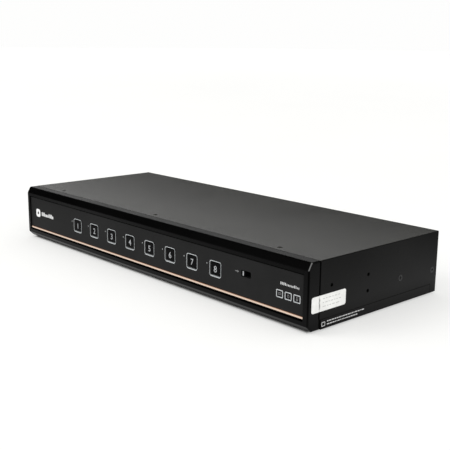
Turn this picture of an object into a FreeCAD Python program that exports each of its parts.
"""Eight-port desktop KVM switch, half-depth rack width, as separate named pieces.

Build frame used below: X to the right along the front, centred on the width; Y is the depth behind
the front edge; Z is the height above the chassis floor. Every piece is moved once, on export, to the
part's own frame: origin at the bottom centre of the overall box, front facing -Y, Z up.
Lengths are in millimetres.
"""
import FreeCAD, Part
import math
import os

from FreeCAD import Vector

# ---------------------------------------------------------------- driving dimensions

WIDTH = 434.0
DEPTH = 172.6
HEIGHT = 56.5
FOOT_HEIGHT = 1.5
SHEET = 1.0
FIT_GAP = 0.1
HALF = WIDTH / 2

# Bezel: moulded frame around the front, with a sloping edge above and below.
BEZEL_DEPTH = 12.3
TOP_SLOPE_RUN = 3.55
TOP_SLOPE_DROP = 6.2
LOW_SLOPE = 5.05
BEZEL_ROUND = 1.5
BEZEL_WALL = 2.2
LIP_SIDE = 5.3
WINDOW_LOW = 8.5
WINDOW_HIGH = 46.95
LEDGE_WIDTH = 3.0
LEDGE_BACK = 4.2

# Front panel: plate set back in the bezel's window.
PANEL_FACE = 1.2
PANEL_THICK = 1.5
PANEL_BACK = PANEL_FACE + PANEL_THICK
PANEL_GAP = 1.2
PANEL_SIDE_GAP = 0.45
BOSS_RADIUS = 2.6
SCREW_CORE_RADIUS = 1.1
BOARD_FRONT = 9.7
BOARD_THICK = 1.6
BOARD_BACK = BOARD_FRONT + BOARD_THICK

# Accent strip in a shallow groove.
STRIP_HALF_LENGTH = 210.9
STRIP_CENTRE = 11.2
STRIP_HEIGHT = 1.9
STRIP_PROUD = 0.15
STRIP_INSET = 0.5

# Port buttons: a row of eight, counted from the left.
PORTS = 8
BUTTON_FIRST_X = -112.15
BUTTON_PITCH = 31.5
BUTTON_Z = 28.6
FRAME_WIDTH = 15.0
FRAME_HEIGHT = 14.3
FRAME_CORNER = 2.5
FRAME_LINE = 0.75
FRAME_PROUD = 0.3
FRAME_BEVEL = 0.35
FRAME_FLANGE = 0.8
FRAME_FLANGE_THICK = 0.7
CAP_GAP = 0.55
CAP_SUNK = 0.5
CAP_ROUND = 0.7
CAP_TRAVEL = 0.8
CAP_FLANGE_GROW = 1.0
CAP_FLANGE_THICK = 1.0
REST_GAP = 0.3
STEM_RADIUS = 2.5
PLUNGER_FRONT = 5.3
PLUNGER_RADIUS = 1.6
PLUNGER_LENGTH = 2.6
SWITCH_SIDE = 6.0
SWITCH_FRONT = 6.5
SWITCH_BORE_RADIUS = 1.95
SWITCH_BORE_SPARE = 0.5

# Indicator light pipes at the upper left of each button.
PIPE_OFFSET_X = -11.25
PIPE_Z = 31.9
PIPE_RADIUS = 0.6
PIPE_REAR_RADIUS = 1.1
PIPE_PROUD = 0.1
PIPE_BACK = 8.6
LED_SIDE = 1.8
LED_FRONT = 8.9

# Status windows at the right end.
STATUS_X = (185.6, 195.0, 204.4)
STATUS_Z = 25.05
STATUS_WIDTH = 7.4
STATUS_HEIGHT = 6.5
STATUS_CORNER = 0.9
STATUS_LINE = 0.75
STATUS_PROUD = 0.2
STATUS_FLANGE = 0.5
STATUS_FLANGE_BACK = 3.4

# Slide switch right of the last button.
SLOT_X = 146.4
SLOT_Z = 32.3
SLOT_WIDTH = 12.0
SLOT_HEIGHT = 5.7
SLOT_CORNER = 1.3
KNOB_WIDTH = 4.2
KNOB_HEIGHT = 4.9
KNOB_FRONT = 1.7
KNOB_GAP = 0.4
KNOB_CORNER = 0.6
KNOB_ROUND = 0.35
CARRIAGE_WIDTH = 8.0
CARRIAGE_HEIGHT = 5.3
CARRIAGE_FRONT = 5.6
CARRIAGE_BACK = 8.1
SLIDE_FRONT = 3.2
SLIDE_CAVITY_WIDTH = 16.0
SLIDE_CAVITY_HEIGHT = 6.0
SLIDE_CAVITY_BACK = 8.7
SLIDE_WALL = 1.2
TRACK_CLEARANCE = 0.6

# Front board and its fixings.
FRONT_BOARD_X = (-134.0, 212.0)
FRONT_BOARD_Z = (12.4, 45.6)
FRONT_BOSSES = [(-129.3, 17.0), (-129.3, 41.0), (-2.1, 17.0), (-2.1, 41.0),
                (127.0, 17.0), (127.0, 41.0), (172.0, 17.0), (172.0, 41.0)]
SMALL_SHANK_RADIUS = 1.2
SMALL_HEAD_RADIUS = 2.3
SMALL_HEAD_HEIGHT = 1.5
LOW_HEAD_HEIGHT = 1.3
PAN_ROUND_SHARE = 0.4

# Chassis tray and cover.
TRAY_FRONT = 13.1
TRAY_LIP_HEIGHT = 10.0
TRAY_WALL_HEIGHT = 50.0
SKIRT_GAP = 0.2
BAND_HEIGHT = 8.0
BAND_START = 15.5
BAND_END = 164.0
BAND_GAP = 0.35
COVER_FRONT_SIDE = 14.0
COVER_FRONT_TOP = 13.0
SKIRT_LOW = 8.45
COVER_BEND = 0.6
REAR_TAB_FRONT = 169.0
REAR_TAB_WIDTH = 9.0
DIMPLE_X = (-167.6, 0.0, 167.6)
DIMPLE_Y = 19.0
DIMPLE_RADIUS = 2.6
DIMPLE_SPHERE = 6.5
BEZEL_SCREW_X = (-200.0, -70.0, 70.0, 200.0)
BEZEL_SCREW_Z = 6.4
BEZEL_BOSS_HALF = 4.0
BEZEL_BOSS_FRONT = 7.4
BEZEL_BOSS_TOP = 10.2

# Side holes: rack-ear screw holes near the front, and the cover's own screws further back.
EAR_HOLE_RADIUS = 1.6
EAR_HOLES_Y = (27.3, 73.3)
EAR_HOLES_Z = (20.4, 34.4)
COVER_SCREWS = [(118.0, 22.9), (165.6, 21.5)]
COVER_HEAD_PROUD = 0.15

# Countersunk screws, used on the cover's sides and on the mains inlet.
FLAT_SHANK_RADIUS = 1.4
FLAT_HEAD_RADIUS = 2.9
FLAT_HEAD_DEPTH = 0.9
FLAT_SCREW_LENGTH = 5.0

# Cross recess in every screw's head, as shares of the head's radius.
RECESS_SPAN = 1.05
RECESS_WIDTH = 0.27
RECESS_DEPTH = 0.3

# Side label, stuck across the seam between bezel and cover.
LABEL_Y = (4.0, 44.9)
LABEL_Z = (15.0, 28.3)
LABEL_CORNER = 2.0
LABEL_THICK = 0.15

# Rubber feet.
FOOT_X = 190.0
FOOT_Y = (22.0, 150.6)
FOOT_RADIUS = 7.5
FOOT_ROUND = 0.5

# Rear panel, set back from the cover's rear edge.
PANEL_REAR = 171.2
REAR_THICK = 1.0
REAR_HALF = 214.6
REAR_LOW = 1.2
REAR_HIGH = 55.3
PORT_GAP = 0.15
PORT_FACE = 172.2
REAR_SCREWS = [(-210.3, 12.0), (-210.3, 44.0), (210.3, 12.0), (210.3, 44.0)]
REAR_HEAD_RADIUS = 2.6
VENT_FIRST_X = -148.0
VENT_COUNT = 60
VENT_PITCH = 6.0
VENT_WIDTH = 2.4
VENT_HEIGHT = 7.0
VENT_CORNER = 1.1
VENT_Z = 49.0

# Host channels on the rear panel.
CHANNEL_FIRST_X = -130.0
CHANNEL_PITCH = 38.0
CONSOLE_X = 184.0
BOARD_SPACE = 6.0
MAIN_BOARD_Z = SHEET + BOARD_SPACE
MAIN_TOP = MAIN_BOARD_Z + BOARD_THICK
VIDEO_BOARD_Z = 28.0
VIDEO_TOP = VIDEO_BOARD_Z + BOARD_THICK
PORT_WALL = 0.8

DP_WIDTH = 16.4
DP_HEIGHT = 5.2
DP_DEPTH = 18.0
DP_CORNER = 1.9
DP_TONGUE = (12.4, 1.5)

USB_B_X = -8.0
USB_B_WIDTH = 8.6
USB_B_HEIGHT = 7.9
USB_B_DEPTH = 16.0
USB_B_CORNER = 1.5
USB_B_TONGUE = (5.6, 3.2)
USB_B_WALL = 1.5

USB_A_WIDTH = 12.6
USB_A_HEIGHT = 5.2
USB_A_DEPTH = 17.0
USB_A_TONGUE = (11.2, 1.9)
USB_A_PITCH = 7.8
TONGUE_SETBACK = 1.2
SOCKET_BACK_WALL = 2.0
INSULATOR_BLOCK = 4.0
INSULATOR_GAP = 0.2

JACK_X = 9.0
JACK_WIDTH = 11.4
JACK_HEIGHT = 11.0
JACK_DEPTH = 13.5
JACK_NOSE_RADIUS = 3.9
JACK_BORE_RADIUS = 1.8
JACK_BORE_DEPTH = 13.0

# Mains inlet.
INLET_X = -183.0
INLET_Z = 28.0
INLET_FLANGE_WIDTH = 49.0
INLET_FLANGE_HEIGHT = 24.0
INLET_FLANGE_THICK = 1.3
INLET_FLANGE_CORNER = 4.0
INLET_BODY_WIDTH = 28.0
INLET_BODY_HEIGHT = 20.4
INLET_BODY_DEPTH = 22.0
INLET_CORNER = 4.6
INLET_CAVITY_WIDTH = 24.4
INLET_CAVITY_HEIGHT = 16.8
INLET_CAVITY_DEPTH = 15.0
INLET_CAVITY_CORNER = 4.2
INLET_SCREW_SPACING = 40.0
PIN_WIDTH = 2.0
PIN_HEIGHT = 4.0
PIN_SETBACK = 3.0
PIN_TAIL = 8.0
PINS = [(-7.0, -2.0), (7.0, -2.0), (0.0, 2.0)]

# Boards inside.
MAIN_BOARD = (-152.0, 208.0, 40.0, 168.8)
VIDEO_BOARD = (-152.0, 208.0, 100.0, 168.8)
POWER_BOARD = (-209.0, -158.0, 48.0, 140.0)
POST_FLATS = 5.5
LOW_POSTS = [(-146.0, 46.0), (30.0, 46.0), (202.0, 46.0), (-204.0, 53.0), (-163.0, 53.0),
             (-204.0, 135.0), (-163.0, 135.0)]
HIGH_POSTS = [(-148.0, 106.0), (27.0, 106.0), (204.0, 106.0), (-148.0, 150.0), (22.0, 150.0),
              (204.0, 150.0)]
SCREW_SHANK = 4.0

# Parts on the boards: places are (x, y) centres.
CHIP_ROW_Y = 128.0
CHIP_SIDE = 14.0
CHIP_HEIGHT = 1.6
CHIP_BEVEL_SHARE = 0.25
BIG_CHIP_SIDE = 24.0
BIG_CHIP_HEIGHT = 2.2
MAIN_CHIP = (60.0, 78.0)
MEMORY_CHIP = (120.0, 74.0)
SINK_SIDE = 28.0
SINK_FINS = 8
SINK_BASE = 2.5
SINK_HEIGHT = 10.0
FIN_THICK = 1.2
POWER_SINK = (-178.0, 72.0)
POWER_SINK_SIDE = 16.0
POWER_SINK_FINS = 5
CAN_X = (-136.0, -122.0, -38.0, -24.0, -10.0)
CAN_Y = 62.0
CAN_SIZE = (4.0, 11.5)
CAN_ROUND_SHARE = 0.15
POWER_CANS = [(-198.0, 62.0, 8.0, 26.0), (-199.0, 84.0, 5.0, 20.0), (-165.0, 63.0, 4.0, 12.5)]
TRANSFORMER = (-184.0, 110.0)
BOBBIN_HALF = (13.0, 12.0)
BOBBIN_THICK = 2.0
WINDING_RADIUS = 10.0
CORE_HALF = (16.0, 5.0)
CORE_LEG = 4.0
CORE_HEIGHT = 24.0
TAMPER = (150.0, 60.0)
TAMPER_POST_HALF = (5.0, 3.0)
TAMPER_BODY_HALF = (10.0, 3.2)
TAMPER_BODY_HEIGHT = 10.0
TAMPER_PLUNGER = (1.5, 2.0)
CELL = (180.0, 84.0)
CELL_RADIUS = 10.0
CELL_THICK = 3.2
CELL_HOLDER_WALL = 1.5
CELL_HOLDER_THICK = 2.0

# Ribbon cable from the front board to the main board, and its plugs.
RIBBON_X = -90.0
RIBBON_WIDTH = 25.0
RIBBON_THICK = 1.0
RIBBON_Z = 30.0
RIBBON_BEND = 7.0
RIBBON_REACH = 28.0
PLUG_WIDTH = 30.0
PLUG_THICK = 6.0
PLUG_DEPTH = 8.0

# Power wires between their headers: header sizes are (width, depth, height).
WIRE_RADIUS = 0.9
WIRE_BEND = 5.0
WIRE_RISE = 12.0
LINK_HEADER = (75.0, 106.0)
LINK_SIZE = (60.0, 6.0)
SUPPLY_HEADER = (-163.0, 96.0)
BOARD_HEADER = (-144.0, 84.0)
LEAD_SIZE = (7.0, 16.0, 8.0)
LEAD_WIRES = 4
LEAD_PITCH = 3.6
MAINS_HEADER_Y = 132.0
MAINS_HEADER_SIZE = (22.0, 8.0, 9.0)


# ---------------------------------------------------------------- small helpers

def box(x0, x1, y0, y1, z0, z1):
    """Axis-aligned block between two corners."""
    return Part.makeBox(x1 - x0, y1 - y0, z1 - z0, Vector(x0, y0, z0))


def front_box(x, z, width, height, y0, y1):
    """Block centred on (x, z) as seen from the front, between two depths."""
    return box(x - width / 2, x + width / 2, y0, y1, z - height / 2, z + height / 2)


def cylinder_x(x0, x1, y, z, radius):
    return Part.makeCylinder(radius, x1 - x0, Vector(x0, y, z), Vector(1, 0, 0))


def cylinder_y(x, z, radius, y0, y1):
    return Part.makeCylinder(radius, y1 - y0, Vector(x, y0, z), Vector(0, 1, 0))


def cylinder_z(x, y, radius, z0, z1):
    return Part.makeCylinder(radius, z1 - z0, Vector(x, y, z0), Vector(0, 0, 1))


def edges_along(shape, direction):
    """Straight edges of a shape that run along one direction."""
    found = []
    for edge in shape.Edges:
        if edge.Curve.TypeId == "Part::GeomLine":
            if abs(edge.Curve.Direction.dot(direction)) > 0.999:
                found.append(edge)
    return found


def rounded_block(x, z, width, height, corner, y0, y1):
    """Block with its four corners, as seen from the front, rounded."""
    block = front_box(x, z, width, height, y0, y1)
    return block.makeFillet(corner, edges_along(block, Vector(0, 1, 0)))


def prism(points, direction):
    """Straight prism from a closed outline of points."""
    outline = Part.makePolygon(points + [points[0]])
    return Part.Face(outline).extrude(direction)


def prism_x(outline, x0, x1):
    """Outline given as (y, z) pairs, extruded along X."""
    return prism([Vector(x0, y, z) for y, z in outline], Vector(x1 - x0, 0, 0))


def clipped_outline(x, z, width, height, clip, corners, y):
    """Rectangle seen from the front with some of its corners cut off at 45 degrees."""
    left, right = x - width / 2, x + width / 2
    low, high = z - height / 2, z + height / 2
    cuts = {
        "low_left": [(left, low + clip), (left + clip, low)],
        "low_right": [(right - clip, low), (right, low + clip)],
        "high_right": [(right, high - clip), (right - clip, high)],
        "high_left": [(left + clip, high), (left, high - clip)],
    }
    whole = {"low_left": (left, low), "low_right": (right, low),
             "high_right": (right, high), "high_left": (left, high)}
    points = []
    for corner in ("low_left", "low_right", "high_right", "high_left"):
        points.extend(cuts[corner] if corner in corners else [whole[corner]])
    return [Vector(px, y, pz) for px, pz in points]


def clipped_block(x, z, width, height, clip, corners, y0, y1):
    outline = clipped_outline(x, z, width, height, clip, corners, y0)
    return prism(outline, Vector(0, y1 - y0, 0))


def hex_post(x, y, z0, z1):
    """Hexagonal stand-off."""
    radius = POST_FLATS / math.sqrt(3)
    angles = [math.radians(60 * step) for step in range(6)]
    points = [Vector(x + radius * math.cos(a), y + radius * math.sin(a), z0) for a in angles]
    return prism(points, Vector(0, 0, z1 - z0))


def cut_all(shape, tools):
    return shape.cut(Part.makeCompound(tools))


def fuse_all(shapes):
    result = shapes[0].fuse(shapes[1:])
    return result.removeSplitter()


def front_ring(shape, y):
    """Edges of a shape that lie at one depth."""
    return [edge for edge in shape.Edges
            if abs(edge.BoundBox.YMin - y) < 1e-4 and abs(edge.BoundBox.YMax - y) < 1e-4]


def rounded_wire(x, z, width, height, corner, y):
    block = rounded_block(x, z, width, height, corner, y, y + 1)
    return Part.Wire(Part.__sortEdges__(front_ring(block, y)))


def bevelled_hole(x, z, width, height, corner, bevel, face, back):
    """Tool for a rounded opening whose mouth widens by a 45-degree bevel at its front face."""
    straight = rounded_block(x, z, width, height, corner, face, back)
    mouth = rounded_wire(x, z, width + 4 * bevel, height + 4 * bevel, corner + 2 * bevel,
                         face - bevel)
    throat = rounded_wire(x, z, width, height, corner, face + bevel)
    return straight.fuse(Part.makeLoft([mouth, throat], True, True))


def bent_wire(points, bend, radius):
    """Round wire along straight runs joined by tangent arcs of one radius."""
    edges = []
    start = points[0]
    for before, corner, after in zip(points, points[1:], points[2:]):
        into = (corner - before).normalize()
        out = (after - corner).normalize()
        half_turn = into.getAngle(out) / 2
        reach = bend * math.tan(half_turn)
        arc_start = corner - into * reach
        arc_end = corner + out * reach
        to_middle = (out - into).normalize()
        middle = corner + to_middle * (bend / math.cos(half_turn) - bend)
        edges.append(Part.LineSegment(start, arc_start).toShape())
        edges.append(Part.Arc(arc_start, middle, arc_end).toShape())
        start = arc_end
    edges.append(Part.LineSegment(start, points[-1]).toShape())
    path = Part.Wire(edges)
    direction = (points[1] - points[0]).normalize()
    section = Part.Wire([Part.makeCircle(radius, points[0], direction)])
    return path.makePipeShell([section], True, False)


def button_x(index):
    return BUTTON_FIRST_X + index * BUTTON_PITCH


def channel_x(index):
    return CHANNEL_FIRST_X + index * CHANNEL_PITCH


def small_screw(x, y, z, direction, shank, head_radius=SMALL_HEAD_RADIUS,
                head_height=SMALL_HEAD_HEIGHT, shank_radius=SMALL_SHANK_RADIUS):
    """Pan-head screw: (x, y, z) is under its head, direction points out of its head."""
    base = Vector(x, y, z)
    head = Part.makeCylinder(head_radius, head_height, base, direction)
    rim = [edge for edge in head.Edges if edge.Curve.TypeId == "Part::GeomCircle"
           and (edge.Curve.Center - base).Length > head_height / 2]
    head = head.makeFillet(head_height * PAN_ROUND_SHARE, rim)
    body = Part.makeCylinder(shank_radius, shank, base - direction * shank, direction)
    return cut_all(fuse_all([head, body]), cross_recess(base + direction * head_height, direction,
                                                       head_radius))


def cross_recess(top, direction, head_radius):
    """Two crossed slots that make a screwdriver recess, sunk from a point on the head."""
    arm = head_radius * RECESS_SPAN
    narrow = head_radius * RECESS_WIDTH
    depth = head_radius * RECESS_DEPTH
    slots = []
    for length, width in ((arm, narrow), (narrow, arm)):
        slot = Part.makeBox(length, width, 2 * depth, Vector(-length / 2, -width / 2, -depth))
        turn = FreeCAD.Rotation(Vector(0, 0, 1), direction)
        slot.Placement = FreeCAD.Placement(top, turn)
        slots.append(slot)
    return slots


# ---------------------------------------------------------------- front

def front_bezel():
    outline = [(0, LOW_SLOPE), (LOW_SLOPE, 0), (BEZEL_DEPTH, 0), (BEZEL_DEPTH, HEIGHT),
               (TOP_SLOPE_RUN, HEIGHT), (0, HEIGHT - TOP_SLOPE_DROP)]
    shell = prism_x(outline, -HALF, HALF)
    exposed = [edge for edge in shell.Edges if edge.BoundBox.YMin < BEZEL_DEPTH - 0.01]
    shell = shell.makeFillet(BEZEL_ROUND, exposed)

    window = box(-HALF + LIP_SIDE, HALF - LIP_SIDE, -1, PANEL_BACK, WINDOW_LOW, WINDOW_HIGH)
    ledge = box(-HALF + LIP_SIDE + LEDGE_WIDTH, HALF - LIP_SIDE - LEDGE_WIDTH, 0, LEDGE_BACK + 1,
                WINDOW_LOW + LEDGE_WIDTH, WINDOW_HIGH - LEDGE_WIDTH)
    back = BEZEL_DEPTH + 1
    inside = [(LEDGE_BACK, LOW_SLOPE + BEZEL_WALL), (LOW_SLOPE + BEZEL_WALL + 1, BEZEL_WALL),
              (back, BEZEL_WALL), (back, HEIGHT - BEZEL_WALL),
              (TOP_SLOPE_RUN + BEZEL_WALL, HEIGHT - BEZEL_WALL),
              (LEDGE_BACK, HEIGHT - TOP_SLOPE_DROP)]
    hollow = prism_x(inside, -HALF + BEZEL_WALL, HALF - BEZEL_WALL)
    shell = cut_all(shell, [window, ledge, hollow])

    bosses = [box(x - BEZEL_BOSS_HALF, x + BEZEL_BOSS_HALF, BEZEL_BOSS_FRONT, TRAY_FRONT,
                  BEZEL_WALL / 2, BEZEL_BOSS_TOP) for x in BEZEL_SCREW_X]
    shell = fuse_all([shell] + bosses)
    pilots = [cylinder_y(x, BEZEL_SCREW_Z, SCREW_CORE_RADIUS + FIT_GAP, BEZEL_BOSS_FRONT + 1,
                         TRAY_FRONT + 1) for x in BEZEL_SCREW_X]
    return cut_all(shell, pilots)


def front_panel():
    half_width = HALF - LIP_SIDE - PANEL_SIDE_GAP
    plate = box(-half_width, half_width, PANEL_FACE, PANEL_BACK, WINDOW_LOW + PANEL_GAP,
                WINDOW_HIGH - PANEL_GAP)
    bosses = [cylinder_y(x, z, BOSS_RADIUS, PANEL_BACK, BOARD_FRONT) for x, z in FRONT_BOSSES]
    body = fuse_all([plate] + bosses)
    cuts = [cylinder_y(x, z, SCREW_CORE_RADIUS + FIT_GAP, PANEL_BACK + 1, BOARD_FRONT + 1)
            for x, z in FRONT_BOSSES]
    for index in range(PORTS):
        x = button_x(index)
        cuts.append(rounded_block(x, BUTTON_Z, FRAME_WIDTH + FIT_GAP, FRAME_HEIGHT + FIT_GAP,
                                  FRAME_CORNER, 0, PANEL_BACK + 1))
        cuts.append(cylinder_y(x + PIPE_OFFSET_X, PIPE_Z, PIPE_RADIUS + FIT_GAP / 2, 0,
                               PANEL_BACK + 1))
    for x in STATUS_X:
        cuts.append(rounded_block(x, STATUS_Z, STATUS_WIDTH + FIT_GAP, STATUS_HEIGHT + FIT_GAP,
                                  STATUS_CORNER, 0, PANEL_BACK + 1))
    cuts.append(rounded_block(SLOT_X, SLOT_Z, SLOT_WIDTH, SLOT_HEIGHT, SLOT_CORNER, 0,
                              PANEL_BACK + 1))
    cuts.append(front_box(0, STRIP_CENTRE, 2 * STRIP_HALF_LENGTH + FIT_GAP,
                          STRIP_HEIGHT + FIT_GAP, 0, PANEL_FACE + STRIP_INSET))
    return cut_all(body, cuts)


def accent_strip():
    return front_box(0, STRIP_CENTRE, 2 * STRIP_HALF_LENGTH, STRIP_HEIGHT,
                     PANEL_FACE - STRIP_PROUD, PANEL_FACE + STRIP_INSET)


def button_frame(x):
    """Pale rounded frame that passes through the panel and guides the button cap."""
    face = PANEL_FACE - FRAME_PROUD
    flange_back = PANEL_BACK + FRAME_FLANGE_THICK
    outer = rounded_block(x, BUTTON_Z, FRAME_WIDTH, FRAME_HEIGHT, FRAME_CORNER, face, flange_back)
    flange = front_box(x, BUTTON_Z, FRAME_WIDTH + 2 * FRAME_FLANGE, FRAME_HEIGHT + 2 * FRAME_FLANGE,
                       PANEL_BACK, flange_back)
    hole = bevelled_hole(x, BUTTON_Z, FRAME_WIDTH - 2 * FRAME_LINE, FRAME_HEIGHT - 2 * FRAME_LINE,
                         FRAME_CORNER - FRAME_LINE, FRAME_BEVEL, face, flange_back + 1)
    return fuse_all([outer, flange]).cut(hole)


def button_cap(x):
    """Cap with its retaining flange behind the frame and a stem that meets the key plunger."""
    width = FRAME_WIDTH - 2 * FRAME_LINE - 2 * CAP_GAP
    height = FRAME_HEIGHT - 2 * FRAME_LINE - 2 * CAP_GAP
    corner = FRAME_CORNER - FRAME_LINE - CAP_GAP / 2
    face = PANEL_FACE + CAP_SUNK
    flange_front = PANEL_BACK + FRAME_FLANGE_THICK + REST_GAP
    flange_back = flange_front + CAP_FLANGE_THICK
    front = rounded_block(x, BUTTON_Z, width, height, corner, face, flange_front)
    front = front.makeFillet(CAP_ROUND, front_ring(front, face))
    flange = front_box(x, BUTTON_Z, width + 2 * CAP_FLANGE_GROW, height + 2 * CAP_FLANGE_GROW,
                       flange_front, flange_back)
    stem = cylinder_y(x, BUTTON_Z, STEM_RADIUS, flange_back, PLUNGER_FRONT)
    return fuse_all([front, flange, stem])


def key_plunger(x):
    return cylinder_y(x, BUTTON_Z, PLUNGER_RADIUS, PLUNGER_FRONT, PLUNGER_FRONT + PLUNGER_LENGTH)


def key_switch(x):
    """Square key switch housing with a bore for its plunger."""
    body = front_box(x, BUTTON_Z, SWITCH_SIDE, SWITCH_SIDE, SWITCH_FRONT, BOARD_FRONT)
    bore_end = PLUNGER_FRONT + PLUNGER_LENGTH + CAP_TRAVEL + SWITCH_BORE_SPARE
    return body.cut(cylinder_y(x, BUTTON_Z, SWITCH_BORE_RADIUS, SWITCH_FRONT - 1, bore_end))


def light_pipe(x):
    tip = cylinder_y(x, PIPE_Z, PIPE_RADIUS, PANEL_FACE - PIPE_PROUD, PANEL_BACK)
    rear = cylinder_y(x, PIPE_Z, PIPE_REAR_RADIUS, PANEL_BACK, PIPE_BACK)
    return fuse_all([tip, rear])


def status_frame(x):
    face = PANEL_FACE - STATUS_PROUD
    outer = rounded_block(x, STATUS_Z, STATUS_WIDTH, STATUS_HEIGHT, STATUS_CORNER, face, PANEL_BACK)
    hole = front_box(x, STATUS_Z, STATUS_WIDTH - 2 * STATUS_LINE, STATUS_HEIGHT - 2 * STATUS_LINE,
                     face - 1, PANEL_BACK + 1)
    return outer.cut(hole)


def status_lens(x):
    tile = front_box(x, STATUS_Z, STATUS_WIDTH - 2 * STATUS_LINE, STATUS_HEIGHT - 2 * STATUS_LINE,
                     PANEL_FACE, PANEL_BACK)
    flange = front_box(x, STATUS_Z, STATUS_WIDTH + 2 * STATUS_FLANGE,
                       STATUS_HEIGHT + 2 * STATUS_FLANGE, PANEL_BACK, STATUS_FLANGE_BACK)
    return fuse_all([tile, flange])


def front_leds():
    places = [(button_x(index) + PIPE_OFFSET_X, PIPE_Z) for index in range(PORTS)]
    places += [(x, STATUS_Z) for x in STATUS_X]
    return [front_box(x, z, LED_SIDE, LED_SIDE, LED_FRONT, BOARD_FRONT) for x, z in places]


def slide_switch():
    """Housing of the slide switch, with the slot that its carriage runs in."""
    width = SLIDE_CAVITY_WIDTH + 2 * SLIDE_WALL
    height = SLIDE_CAVITY_HEIGHT + 2 * SLIDE_WALL
    body = front_box(SLOT_X, SLOT_Z, width, height, SLIDE_FRONT, BOARD_FRONT)
    track = front_box(SLOT_X, SLOT_Z, SLIDE_CAVITY_WIDTH, SLIDE_CAVITY_HEIGHT,
                      CARRIAGE_FRONT - TRACK_CLEARANCE, SLIDE_CAVITY_BACK)
    mouth = front_box(SLOT_X, SLOT_Z, SLOT_WIDTH, SLOT_HEIGHT, SLIDE_FRONT - 1, CARRIAGE_FRONT)
    return cut_all(body, [track, mouth])


def slide_knob():
    """Knob at the left end of its slot, on the carriage that keeps it in the housing."""
    x = SLOT_X - SLOT_WIDTH / 2 + KNOB_GAP + KNOB_WIDTH / 2
    knob = rounded_block(x, SLOT_Z, KNOB_WIDTH, KNOB_HEIGHT, KNOB_CORNER, KNOB_FRONT,
                         CARRIAGE_FRONT)
    knob = knob.makeFillet(KNOB_ROUND, front_ring(knob, KNOB_FRONT))
    carriage = front_box(x, SLOT_Z, CARRIAGE_WIDTH, CARRIAGE_HEIGHT, CARRIAGE_FRONT, CARRIAGE_BACK)
    return fuse_all([knob, carriage])


def front_board():
    board = box(FRONT_BOARD_X[0], FRONT_BOARD_X[1], BOARD_FRONT, BOARD_BACK, FRONT_BOARD_Z[0],
                FRONT_BOARD_Z[1])
    holes = [cylinder_y(x, z, SMALL_SHANK_RADIUS + FIT_GAP, BOARD_FRONT - 1, BOARD_BACK + 1)
             for x, z in FRONT_BOSSES]
    return cut_all(board, holes)


def front_board_screws():
    return [small_screw(x, BOARD_BACK, z, Vector(0, 1, 0), SCREW_SHANK,
                        head_height=LOW_HEAD_HEIGHT, shank_radius=SCREW_CORE_RADIUS)
            for x, z in FRONT_BOSSES]


# ---------------------------------------------------------------- chassis

def side_places(places):
    """The same (y, z) places on both sides, with the sign of the side."""
    return [(side, y, z) for side in (-1, 1) for y, z in places]


def ear_holes(inner, outer):
    """Rack-ear holes through a side wall between two half-widths."""
    places = [(y, z) for y in EAR_HOLES_Y for z in EAR_HOLES_Z]
    holes = []
    for side, y, z in side_places(places):
        low, high = sorted((side * inner, side * outer))
        holes.append(cylinder_x(low, high, y, z, EAR_HOLE_RADIUS))
    return holes


def base_tray():
    """Floor with doubled lower flanges, inner side walls, a front lip and rear tabs."""
    inner = HALF - SHEET - SKIRT_GAP
    back = PANEL_REAR - REAR_THICK
    pieces = [box(-inner, inner, TRAY_FRONT, back, 0, SHEET),
              box(-inner, inner, TRAY_FRONT, TRAY_FRONT + SHEET, 0, TRAY_LIP_HEIGHT)]
    for side in (-1, 1):
        low, high = sorted((side * inner, side * (inner - SHEET)))
        pieces.append(box(low, high, TRAY_FRONT, back, 0, TRAY_WALL_HEIGHT))
        low, high = sorted((side * inner, side * HALF))
        pieces.append(box(low, high, BAND_START, BAND_END, 0, BAND_HEIGHT))
        low, high = sorted((side * (inner - SHEET), side * (inner - REAR_TAB_WIDTH)))
        pieces.append(box(low, high, REAR_TAB_FRONT, back, SHEET, TRAY_WALL_HEIGHT))
    tray = fuse_all(pieces)
    cuts = ear_holes(inner - SHEET - 1, inner + 1)
    for side, y, z in side_places(COVER_SCREWS):
        low, high = sorted((side * (inner - SHEET - 1), side * (inner + 1)))
        cuts.append(cylinder_x(low, high, y, z, FLAT_SHANK_RADIUS + FIT_GAP))
    for x in BEZEL_SCREW_X:
        cuts.append(cylinder_y(x, BEZEL_SCREW_Z, SMALL_SHANK_RADIUS + FIT_GAP, TRAY_FRONT - 1,
                               TRAY_FRONT + SHEET + 1))
    for x, z in REAR_SCREWS:
        cuts.append(cylinder_y(x, z, SMALL_SHANK_RADIUS + FIT_GAP, REAR_TAB_FRONT - 1, back + 1))
    return cut_all(tray, cuts)


def top_cover():
    """U-shaped cover: its skirts end above the tray's flange and drop to the floor at the rear."""
    rear_drop = BAND_END + BAND_GAP
    outer = fuse_all([
        box(-HALF, HALF, COVER_FRONT_SIDE, DEPTH, SKIRT_LOW, HEIGHT),
        box(-HALF, HALF, rear_drop, DEPTH, 0, HEIGHT),
        box(-HALF, HALF, COVER_FRONT_TOP, DEPTH, HEIGHT - SHEET, HEIGHT),
    ])
    bends = [edge for edge in edges_along(outer, Vector(0, 1, 0))
             if edge.BoundBox.ZMin > HEIGHT - 0.01]
    outer = outer.makeFillet(COVER_BEND, bends)
    hollow = box(-HALF + SHEET, HALF - SHEET, 0, DEPTH + 1, -1, HEIGHT - SHEET)
    cover = outer.cut(hollow)
    cuts = ear_holes(HALF - SHEET - 1, HALF + 1)
    cuts += [countersink(seat, outward) for seat, outward in cover_screw_seats()]
    for x in DIMPLE_X:
        lift = math.sqrt(DIMPLE_SPHERE ** 2 - DIMPLE_RADIUS ** 2)
        cuts.append(Part.makeSphere(DIMPLE_SPHERE, Vector(x, DIMPLE_Y, HEIGHT + lift)))
    return cut_all(cover, cuts)


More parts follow.
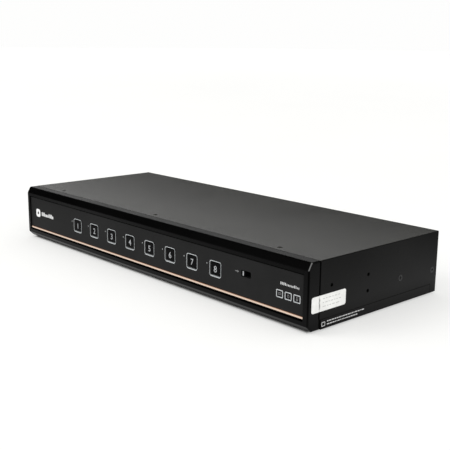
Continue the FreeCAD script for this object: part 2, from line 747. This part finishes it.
def countersink(seat, outward, depth=FLAT_HEAD_DEPTH):
    """Clearance hole with a conical seat, sunk into a face at one point."""
    hole = Part.makeCylinder(FLAT_SHANK_RADIUS + FIT_GAP, 2 * FLAT_SCREW_LENGTH,
                             seat + outward * FLAT_SCREW_LENGTH, -outward)
    cone = Part.makeCone(FLAT_HEAD_RADIUS + FIT_GAP, FLAT_SHANK_RADIUS + FIT_GAP, depth, seat,
                         -outward)
    return hole.fuse(cone)


def flat_screw(seat, outward, proud):
    """Countersunk screw whose head lies level with a face, or a little proud of it."""
    face = seat + outward * proud
    head = Part.makeCone(FLAT_HEAD_RADIUS, FLAT_SHANK_RADIUS, FLAT_HEAD_DEPTH, seat, -outward)
    shank = Part.makeCylinder(FLAT_SHANK_RADIUS, FLAT_SCREW_LENGTH, seat, -outward)
    pieces = [head, shank]
    if proud > 0:
        pieces.append(Part.makeCylinder(FLAT_HEAD_RADIUS, proud, face, -outward))
    return cut_all(fuse_all(pieces), cross_recess(face, outward, FLAT_HEAD_RADIUS))


def cover_screw_seats():
    return [(Vector(side * HALF, y, z), Vector(side, 0, 0))
            for side, y, z in side_places(COVER_SCREWS)]


def cover_screws():
    return [flat_screw(seat, outward, COVER_HEAD_PROUD) for seat, outward in cover_screw_seats()]


def bezel_screws():
    return [small_screw(x, TRAY_FRONT + SHEET, BEZEL_SCREW_Z, Vector(0, 1, 0), SCREW_SHANK,
                        shank_radius=SCREW_CORE_RADIUS) for x in BEZEL_SCREW_X]


def side_label():
    block = box(HALF, HALF + LABEL_THICK, LABEL_Y[0], LABEL_Y[1], LABEL_Z[0], LABEL_Z[1])
    return block.makeFillet(LABEL_CORNER, edges_along(block, Vector(1, 0, 0)))


def rubber_feet():
    feet = []
    for x in (-FOOT_X, FOOT_X):
        for y in FOOT_Y:
            foot = cylinder_z(x, y, FOOT_RADIUS, -FOOT_HEIGHT, 0)
            rim = [edge for edge in foot.Edges
                   if edge.BoundBox.ZMax < -FOOT_HEIGHT / 2]
            feet.append(foot.makeFillet(FOOT_ROUND, rim))
    return feet


# ---------------------------------------------------------------- rear panel and its connectors

def inlet_screw_seats():
    """Points on the inlet's flange face where its two screws sit."""
    face = PANEL_REAR + INLET_FLANGE_THICK
    return [Vector(INLET_X + side * INLET_SCREW_SPACING / 2, face, INLET_Z) for side in (-1, 1)]


def rear_panel():
    plate = box(-REAR_HALF, REAR_HALF, PANEL_REAR - REAR_THICK, PANEL_REAR, REAR_LOW, REAR_HIGH)
    y0, y1 = PANEL_REAR - REAR_THICK - 1, PANEL_REAR + 1
    cuts = [clipped_block(INLET_X, INLET_Z, INLET_BODY_WIDTH + 2 * PORT_GAP,
                          INLET_BODY_HEIGHT + 2 * PORT_GAP, INLET_CORNER,
                          ("low_left", "low_right"), y0, y1)]
    for seat in inlet_screw_seats():
        cuts.append(cylinder_y(seat.x, seat.z, FLAT_SHANK_RADIUS + FIT_GAP, y0, y1))
    for x, z in REAR_SCREWS:
        cuts.append(cylinder_y(x, z, SMALL_SHANK_RADIUS + FIT_GAP, y0, y1))
    for x, z in video_places():
        cuts.append(front_box(x, z, DP_WIDTH + 2 * (PORT_WALL + PORT_GAP),
                              DP_HEIGHT + 2 * (PORT_WALL + PORT_GAP), y0, y1))
    for x, z in usb_b_places():
        cuts.append(front_box(x, z, USB_B_WIDTH + 2 * (USB_B_WALL + PORT_GAP),
                              USB_B_HEIGHT + 2 * (USB_B_WALL + PORT_GAP), y0, y1))
    x, z = usb_a_place()
    cuts.append(front_box(x, z, USB_A_WIDTH + 2 * (PORT_WALL + PORT_GAP),
                          usb_a_stack_height() + 2 * PORT_GAP, y0, y1))
    for x, z in jack_places():
        cuts.append(cylinder_y(x, z, JACK_NOSE_RADIUS + PORT_GAP, y0, y1))
    for index in range(VENT_COUNT):
        cuts.append(rounded_block(VENT_FIRST_X + index * VENT_PITCH, VENT_Z, VENT_WIDTH,
                                  VENT_HEIGHT, VENT_CORNER, y0, y1))
    return cut_all(plate, cuts)


def rear_screws():
    """Pan-head screws of the panel and countersunk screws of the mains inlet."""
    screws = [small_screw(x, PANEL_REAR, z, Vector(0, 1, 0), SCREW_SHANK,
                          head_radius=REAR_HEAD_RADIUS, head_height=LOW_HEAD_HEIGHT)
              for x, z in REAR_SCREWS]
    screws += [flat_screw(seat, Vector(0, 1, 0), 0) for seat in inlet_screw_seats()]
    return screws


def video_places():
    z = VIDEO_TOP + PORT_WALL + DP_HEIGHT / 2
    return [(channel_x(index), z) for index in range(PORTS)] + [(CONSOLE_X, z)]


def usb_b_places():
    z = MAIN_TOP + USB_B_WALL + USB_B_HEIGHT / 2
    return [(channel_x(index) + USB_B_X, z) for index in range(PORTS)]


def usb_a_stack_height():
    return USB_A_PITCH + USB_A_HEIGHT + 2 * PORT_WALL


def usb_a_place():
    return (CONSOLE_X + USB_B_X, MAIN_TOP + usb_a_stack_height() / 2)


def jack_places():
    z = MAIN_TOP + JACK_HEIGHT / 2
    places = [(channel_x(index) + JACK_X, z) for index in range(PORTS)]
    return places + [(CONSOLE_X + JACK_X, z)]


def video_port(x, z):
    """DisplayPort-size metal shell, one corner of its opening cut off."""
    back = PORT_FACE - DP_DEPTH
    shell = front_box(x, z, DP_WIDTH + 2 * PORT_WALL, DP_HEIGHT + 2 * PORT_WALL, back, PORT_FACE)
    cavity = clipped_block(x, z, DP_WIDTH, DP_HEIGHT, DP_CORNER, ("low_right",),
                           back + SOCKET_BACK_WALL, PORT_FACE + 1)
    return shell.cut(cavity)


def usb_b_port(x, z):
    back = PORT_FACE - USB_B_DEPTH
    shell = front_box(x, z, USB_B_WIDTH + 2 * USB_B_WALL, USB_B_HEIGHT + 2 * USB_B_WALL, back,
                      PORT_FACE)
    cavity = clipped_block(x, z, USB_B_WIDTH, USB_B_HEIGHT, USB_B_CORNER,
                           ("high_left", "high_right"), back + SOCKET_BACK_WALL, PORT_FACE + 1)
    return shell.cut(cavity)


def usb_a_levels():
    x, z = usb_a_place()
    return [(x, z - USB_A_PITCH / 2), (x, z + USB_A_PITCH / 2)]


def usb_a_stack():
    """Two stacked USB-A sockets for the console keyboard and mouse."""
    x, z = usb_a_place()
    back = PORT_FACE - USB_A_DEPTH
    shell = front_box(x, z, USB_A_WIDTH + 2 * PORT_WALL, usb_a_stack_height(), back, PORT_FACE)
    cavities = [front_box(cx, cz, USB_A_WIDTH, USB_A_HEIGHT, back + SOCKET_BACK_WALL, PORT_FACE + 1)
                for cx, cz in usb_a_levels()]
    return cut_all(shell, cavities)


def insulator(x, z, opening, tongue, socket_depth):
    """Contact block at the bottom of a socket, with its tongue reaching towards the mouth."""
    back = PORT_FACE - socket_depth + SOCKET_BACK_WALL
    width, height = (side - 2 * INSULATOR_GAP for side in opening)
    block = front_box(x, z, width, height, back, back + INSULATOR_BLOCK)
    blade = front_box(x, z, tongue[0], tongue[1], back, PORT_FACE - TONGUE_SETBACK)
    return fuse_all([block, blade])


def port_tongues():
    video_opening = (DP_WIDTH - 2 * DP_CORNER, DP_HEIGHT)
    usb_b_opening = (USB_B_WIDTH - 2 * USB_B_CORNER, USB_B_HEIGHT)
    usb_a_opening = (USB_A_WIDTH, USB_A_HEIGHT)
    tongues = [insulator(x, z, video_opening, DP_TONGUE, DP_DEPTH) for x, z in video_places()]
    tongues += [insulator(x, z, usb_b_opening, USB_B_TONGUE, USB_B_DEPTH)
                for x, z in usb_b_places()]
    tongues += [insulator(x, z, usb_a_opening, USB_A_TONGUE, USB_A_DEPTH)
                for x, z in usb_a_levels()]
    return tongues


def audio_jack(x, z):
    back = PANEL_REAR - REAR_THICK - JACK_DEPTH
    body = front_box(x, z, JACK_WIDTH, JACK_HEIGHT, back, PANEL_REAR - REAR_THICK)
    nose = cylinder_y(x, z, JACK_NOSE_RADIUS, PANEL_REAR - REAR_THICK, PORT_FACE)
    bore = cylinder_y(x, z, JACK_BORE_RADIUS, PORT_FACE - JACK_BORE_DEPTH, PORT_FACE + 1)
    return fuse_all([body, nose]).cut(bore)


def ac_inlet():
    """Three-pin appliance inlet: flange, body and the cavity that takes the lead's connector."""
    face = PANEL_REAR + INLET_FLANGE_THICK
    back = face - INLET_BODY_DEPTH
    low = ("low_left", "low_right")
    flange = rounded_block(INLET_X, INLET_Z, INLET_FLANGE_WIDTH, INLET_FLANGE_HEIGHT,
                           INLET_FLANGE_CORNER, PANEL_REAR, face)
    body = clipped_block(INLET_X, INLET_Z, INLET_BODY_WIDTH, INLET_BODY_HEIGHT, INLET_CORNER, low,
                         back, face)
    cavity = clipped_block(INLET_X, INLET_Z, INLET_CAVITY_WIDTH, INLET_CAVITY_HEIGHT,
                           INLET_CAVITY_CORNER, low, face - INLET_CAVITY_DEPTH, face + 1)
    inlet = fuse_all([flange, body]).cut(cavity)
    cuts = [countersink(seat, Vector(0, 1, 0)) for seat in inlet_screw_seats()]
    for dx, dz in PINS:
        cuts.append(front_box(INLET_X + dx, INLET_Z + dz, PIN_WIDTH, PIN_HEIGHT, back - 1,
                              face - INLET_CAVITY_DEPTH + 1))
    return cut_all(inlet, cuts)


def inlet_pins():
    face = PANEL_REAR + INLET_FLANGE_THICK
    back = face - INLET_BODY_DEPTH
    return [front_box(INLET_X + dx, INLET_Z + dz, PIN_WIDTH, PIN_HEIGHT, back - PIN_TAIL,
                      face - PIN_SETBACK) for dx, dz in PINS]


# ---------------------------------------------------------------- boards and parts inside

def plain_board(extent, z, holes):
    x0, x1, y0, y1 = extent
    board = box(x0, x1, y0, y1, z, z + BOARD_THICK)
    inside = [cylinder_z(x, y, SMALL_SHANK_RADIUS + FIT_GAP, z - 1, z + BOARD_THICK + 1)
              for x, y in holes if x0 < x < x1 and y0 < y < y1]
    return cut_all(board, inside)


def standoffs():
    """Low posts under the main and power boards, high posts between main and video board."""
    bore = SMALL_SHANK_RADIUS + FIT_GAP
    posts = []
    for x, y in LOW_POSTS + HIGH_POSTS:
        post = hex_post(x, y, SHEET, MAIN_BOARD_Z)
        posts.append(post.cut(cylinder_z(x, y, bore, SHEET + 1, MAIN_BOARD_Z + 1)))
    for x, y in HIGH_POSTS:
        post = hex_post(x, y, MAIN_TOP, VIDEO_BOARD_Z)
        posts.append(post.cut(cylinder_z(x, y, bore, MAIN_TOP + 1, VIDEO_BOARD_Z + 1)))
    return posts


def board_screws():
    up = Vector(0, 0, 1)
    screws = [small_screw(x, y, MAIN_TOP, up, SCREW_SHANK) for x, y in LOW_POSTS]
    screws += [small_screw(x, y, VIDEO_TOP, up, SCREW_SHANK) for x, y in HIGH_POSTS]
    return screws


def chip(x, y, z, side, height):
    """Square package with its upper edges bevelled."""
    body = box(x - side / 2, x + side / 2, y - side / 2, y + side / 2, z, z + height)
    top = [edge for edge in body.Edges if edge.BoundBox.ZMin > z + height / 2]
    return body.makeChamfer(height * CHIP_BEVEL_SHARE, top)


def control_chips():
    """One host controller per channel on the main board, and the main controller."""
    chips = [chip(channel_x(index), CHIP_ROW_Y, MAIN_TOP, CHIP_SIDE, CHIP_HEIGHT)
             for index in range(PORTS)]
    chips.append(chip(*MAIN_CHIP, MAIN_TOP, BIG_CHIP_SIDE, BIG_CHIP_HEIGHT))
    chips.append(chip(*MEMORY_CHIP, MAIN_TOP, CHIP_SIDE, CHIP_HEIGHT))
    return chips


def video_chip_x():
    return [(channel_x(pair) + channel_x(pair + 1)) / 2 for pair in range(0, PORTS, 2)]


def video_chips():
    return [chip(x, CHIP_ROW_Y, VIDEO_TOP, BIG_CHIP_SIDE, BIG_CHIP_HEIGHT)
            for x in video_chip_x()]


def finned_sink(x, y, z, side, fins):
    """Square heat sink with upright fins on a flat base."""
    half = side / 2
    pieces = [box(x - half, x + half, y - half, y + half, z, z + SINK_BASE)]
    step = (side - FIN_THICK) / (fins - 1)
    for index in range(fins):
        left = x - half + index * step
        pieces.append(box(left, left + FIN_THICK, y - half, y + half, z + SINK_BASE,
                          z + SINK_HEIGHT))
    return fuse_all(pieces)


def heat_sinks():
    sinks = [finned_sink(x, CHIP_ROW_Y, VIDEO_TOP + BIG_CHIP_HEIGHT, SINK_SIDE, SINK_FINS)
             for x in video_chip_x()]
    sinks.append(finned_sink(*POWER_SINK, MAIN_TOP, POWER_SINK_SIDE, POWER_SINK_FINS))
    return sinks


def can(x, y, radius, height):
    """Electrolytic capacitor with a rounded top rim, standing on one of the low boards."""
    body = cylinder_z(x, y, radius, MAIN_TOP, MAIN_TOP + height)
    rim = [edge for edge in body.Edges if edge.BoundBox.ZMin > MAIN_TOP + height / 2]
    return body.makeFillet(radius * CAN_ROUND_SHARE, rim)


def board_capacitors():
    return [can(x, CAN_Y, *CAN_SIZE) for x in CAN_X]


def power_capacitors():
    return [can(*place_and_size) for place_and_size in POWER_CANS]


def power_transformer():
    """E-core around a wound bobbin, standing on the power board."""
    x, y = TRANSFORMER
    floor = MAIN_TOP + BOBBIN_THICK
    yoke = MAIN_TOP + CORE_HEIGHT - CORE_LEG
    wide, deep = CORE_HALF
    pieces = [box(x - BOBBIN_HALF[0], x + BOBBIN_HALF[0], y - BOBBIN_HALF[1], y + BOBBIN_HALF[1],
                  MAIN_TOP, floor),
              cylinder_z(x, y, WINDING_RADIUS, floor, yoke),
              box(x - wide, x + wide, y - deep, y + deep, yoke, yoke + CORE_LEG),
              box(x - wide, x - wide + CORE_LEG, y - deep, y + deep, floor, yoke),
              box(x + wide - CORE_LEG, x + wide, y - deep, y + deep, floor, yoke)]
    return fuse_all(pieces)


def tamper_switch():
    """Micro switch on a post, its plunger held down by the closed cover."""
    x, y = TAMPER
    cover = HEIGHT - SHEET
    radius, stroke = TAMPER_PLUNGER
    body_low = cover - stroke - TAMPER_BODY_HEIGHT
    pieces = []
    for half, low, high in ((TAMPER_POST_HALF, MAIN_TOP, body_low),
                            (TAMPER_BODY_HALF, body_low, cover - stroke)):
        pieces.append(box(x - half[0], x + half[0], y - half[1], y + half[1], low, high))
    pieces.append(cylinder_z(x, y, radius, cover - stroke, cover - FIT_GAP))
    return fuse_all(pieces)


def backup_cell():
    """Coin cell in its round holder."""
    top = MAIN_TOP + CELL_HOLDER_THICK
    holder = cylinder_z(*CELL, CELL_RADIUS + CELL_HOLDER_WALL, MAIN_TOP, top)
    return fuse_all([holder, cylinder_z(*CELL, CELL_RADIUS, top, top + CELL_THICK)])


def header(place, width, depth, height):
    """Connector block standing on one of the low boards."""
    x, y = place
    return box(x - width / 2, x + width / 2, y - depth / 2, y + depth / 2, MAIN_TOP,
               MAIN_TOP + height)


def ribbon_end_y():
    return BOARD_BACK + PLUG_DEPTH + RIBBON_REACH


def board_headers():
    """Plug and socket pairs: ribbon ends, the link between the boards, and the power leads."""
    return [
        front_box(RIBBON_X, RIBBON_Z, PLUG_WIDTH, PLUG_THICK, BOARD_BACK, BOARD_BACK + PLUG_DEPTH),
        header((RIBBON_X, ribbon_end_y()), PLUG_WIDTH, PLUG_THICK, PLUG_DEPTH),
        header(LINK_HEADER, *LINK_SIZE, VIDEO_BOARD_Z - MAIN_TOP),
        header(BOARD_HEADER, *LEAD_SIZE),
        header(SUPPLY_HEADER, *LEAD_SIZE),
        header((INLET_X, MAINS_HEADER_Y), *MAINS_HEADER_SIZE),
    ]


def front_ribbon():
    """Flat cable: straight back from the front board, then one bend down to the main board."""
    left = RIBBON_X - RIBBON_WIDTH / 2
    right = RIBBON_X + RIBBON_WIDTH / 2
    half = RIBBON_THICK / 2
    end_y = ribbon_end_y()
    bend_y = end_y - RIBBON_BEND
    bend_z = RIBBON_Z - RIBBON_BEND
    flat = box(left, right, BOARD_BACK + PLUG_DEPTH, bend_y, RIBBON_Z - half, RIBBON_Z + half)
    drop = box(left, right, end_y - half, end_y + half, MAIN_TOP + PLUG_DEPTH, bend_z)
    base = Vector(left, bend_y, bend_z)
    along = Vector(1, 0, 0)
    outer = Part.makeCylinder(RIBBON_BEND + half, RIBBON_WIDTH, base, along)
    inner = Part.makeCylinder(RIBBON_BEND - half, RIBBON_WIDTH, base, along)
    quarter = box(left, right, bend_y, end_y + 1, bend_z, RIBBON_Z + 1)
    return fuse_all([flat, outer.cut(inner).common(quarter), drop])


def mains_wires():
    """From each inlet pin towards the front, then down into the mains header."""
    pin_back = PANEL_REAR + INLET_FLANGE_THICK - INLET_BODY_DEPTH - PIN_TAIL
    header_top = MAIN_TOP + MAINS_HEADER_SIZE[2]
    wires = []
    for dx, dz in PINS:
        x, z = INLET_X + dx, INLET_Z + dz
        route = [Vector(x, pin_back, z), Vector(x, MAINS_HEADER_Y, z),
                 Vector(x, MAINS_HEADER_Y, header_top)]
        wires.append(bent_wire(route, WIRE_BEND, WIRE_RADIUS))
    return wires


def supply_wires():
    """Low-voltage wires that arch from the power board to the main board."""
    top = MAIN_TOP + LEAD_SIZE[2]
    rise = Vector(0, 0, WIRE_RISE)
    wires = []
    for index in range(LEAD_WIRES):
        shift = (index - (LEAD_WIRES - 1) / 2) * LEAD_PITCH
        start = Vector(SUPPLY_HEADER[0], SUPPLY_HEADER[1] + shift, top)
        end = Vector(BOARD_HEADER[0], BOARD_HEADER[1] + shift, top)
        wires.append(bent_wire([start, start + rise, end + rise, end], WIRE_BEND, WIRE_RADIUS))
    return wires


# ---------------------------------------------------------------- export

def build_nodes():
    ports = range(PORTS)
    nodes = {
        "front_bezel": [front_bezel()],
        "front_panel": [front_panel()],
        "accent_strip": [accent_strip()],
        "button_frames": [button_frame(button_x(index)) for index in ports],
        "port_light_pipes": [light_pipe(button_x(index) + PIPE_OFFSET_X) for index in ports],
        "status_frames": [status_frame(x) for x in STATUS_X],
        "status_lenses": [status_lens(x) for x in STATUS_X],
        "key_switches": [key_switch(button_x(index)) for index in ports],
        "front_leds": front_leds(),
        "slide_switch": [slide_switch()],
        "slide_knob": [slide_knob()],
        "front_board": [front_board()],
        "front_board_screws": front_board_screws(),
        "base_tray": [base_tray()],
        "top_cover": [top_cover()],
        "cover_screws": cover_screws(),
        "bezel_screws": bezel_screws(),
        "side_label": [side_label()],
        "rubber_feet": rubber_feet(),
        "rear_panel": [rear_panel()],
        "rear_screws": rear_screws(),
        "video_ports": [video_port(x, z) for x, z in video_places()],
        "usb_b_ports": [usb_b_port(x, z) for x, z in usb_b_places()],
        "usb_a_ports": [usb_a_stack()],
        "port_tongues": port_tongues(),
        "audio_jacks": [audio_jack(x, z) for x, z in jack_places()],
        "ac_inlet": [ac_inlet()],
        "inlet_pins": inlet_pins(),
        "main_board": [plain_board(MAIN_BOARD, MAIN_BOARD_Z, LOW_POSTS + HIGH_POSTS)],
        "video_board": [plain_board(VIDEO_BOARD, VIDEO_BOARD_Z, HIGH_POSTS)],
        "power_board": [plain_board(POWER_BOARD, MAIN_BOARD_Z, LOW_POSTS)],
        "standoffs": standoffs(),
        "board_screws": board_screws(),
        "board_headers": board_headers(),
        "control_chips": control_chips(),
        "video_chips": video_chips(),
        "heat_sinks": heat_sinks(),
        "board_capacitors": board_capacitors(),
        "power_capacitors": power_capacitors(),
        "power_transformer": [power_transformer()],
        "tamper_switch": [tamper_switch()],
        "backup_cell": [backup_cell()],
        "front_ribbon": [front_ribbon()],
        "power_wires": mains_wires() + supply_wires(),
    }
    for index in ports:
        nodes["button_cap_%d" % (index + 1)] = [button_cap(button_x(index))]
        nodes["key_plunger_%d" % (index + 1)] = [key_plunger(button_x(index))]
    return nodes


def export(nodes):
    os.makedirs("parts", exist_ok=True)
    to_row_frame = Vector(0, -DEPTH / 2, FOOT_HEIGHT)
    for name, solids in nodes.items():
        shape = solids[0] if len(solids) == 1 else Part.makeCompound(solids)
        shape.translate(to_row_frame)
        shape.exportStep("parts/%s.step" % name)
        print(name, len(shape.Solids), "solids", round(shape.Volume, 1), "mm3", shape.isValid())


export(build_nodes())
